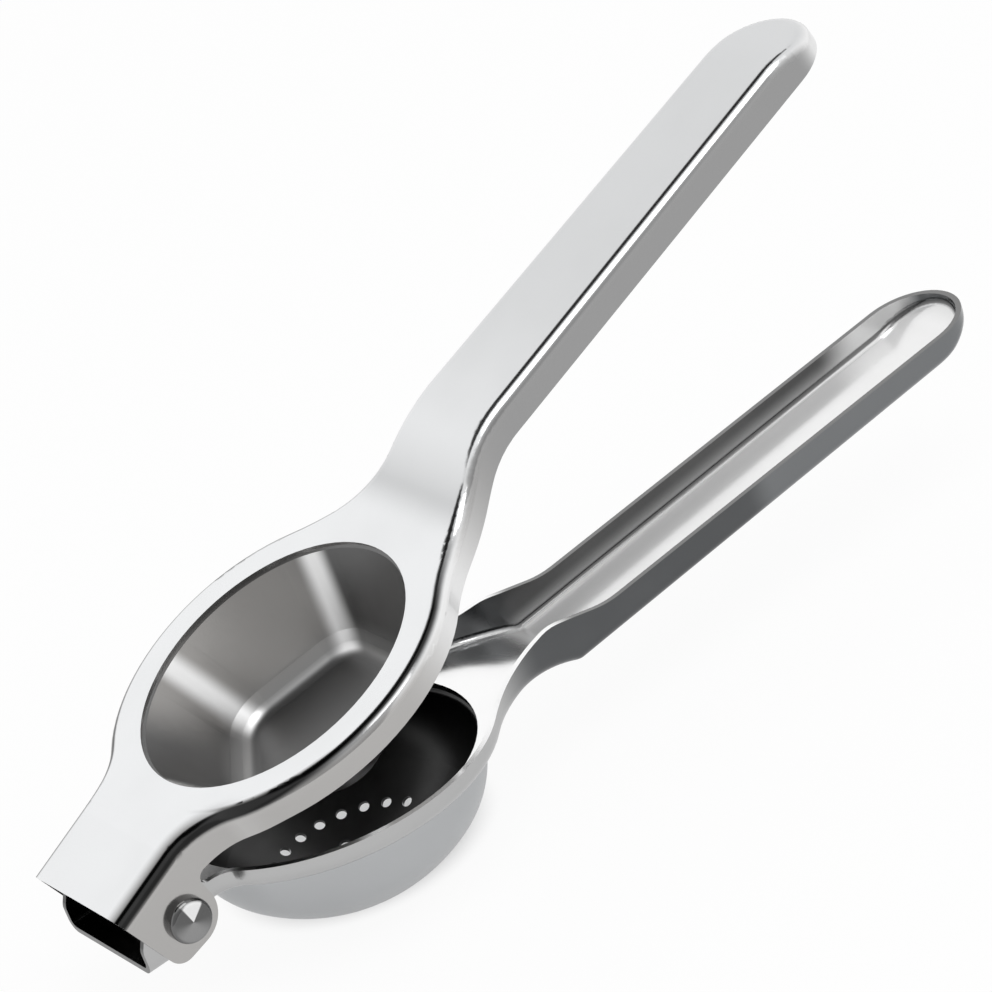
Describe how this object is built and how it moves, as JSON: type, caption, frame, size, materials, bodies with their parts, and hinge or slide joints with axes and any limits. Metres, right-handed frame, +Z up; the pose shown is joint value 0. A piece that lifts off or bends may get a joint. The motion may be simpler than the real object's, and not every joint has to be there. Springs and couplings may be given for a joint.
{
  "type": "hinged lemon squeezer",
  "caption": "Hand press of two hinged steel levers: the upper one carries a press cup, the lower one a perforated strainer bowl.",
  "frame": {"origin": "centre of the flat under the strainer bowl, which the squeezer stands on", "axes": "+X from the ring towards the handle ends, +Y across the levers along the hinge pin, +Z up out of the bowl"},
  "size_m": [0.2226, 0.076, 0.1084],
  "materials": {
    "upper_lever": "polished",
    "press_cup": "polished",
    "lower_lever": "polished",
    "strainer_bowl": "satin",
    "hinge_pin": "polished",
    "pin_washer": "polished"
  },
  "bodies": {
    "lower_body": {"lower_lever": "lower_lever", "strainer_bowl": "strainer_bowl"},
    "upper_body": {"upper_lever": "upper_lever", "press_cup": "press_cup", "hinge_pin": "hinge_pin", "pin_washer": "pin_washer"}
  },
  "joints": [
    {"name": "lever_hinge", "type": "hinge", "parent": "lower_body", "child": "upper_body", "pos_m": [-0.04335, 0, 0.02465], "axis": [0, -1, 0], "range_deg": [-17, 55]}
  ]
}
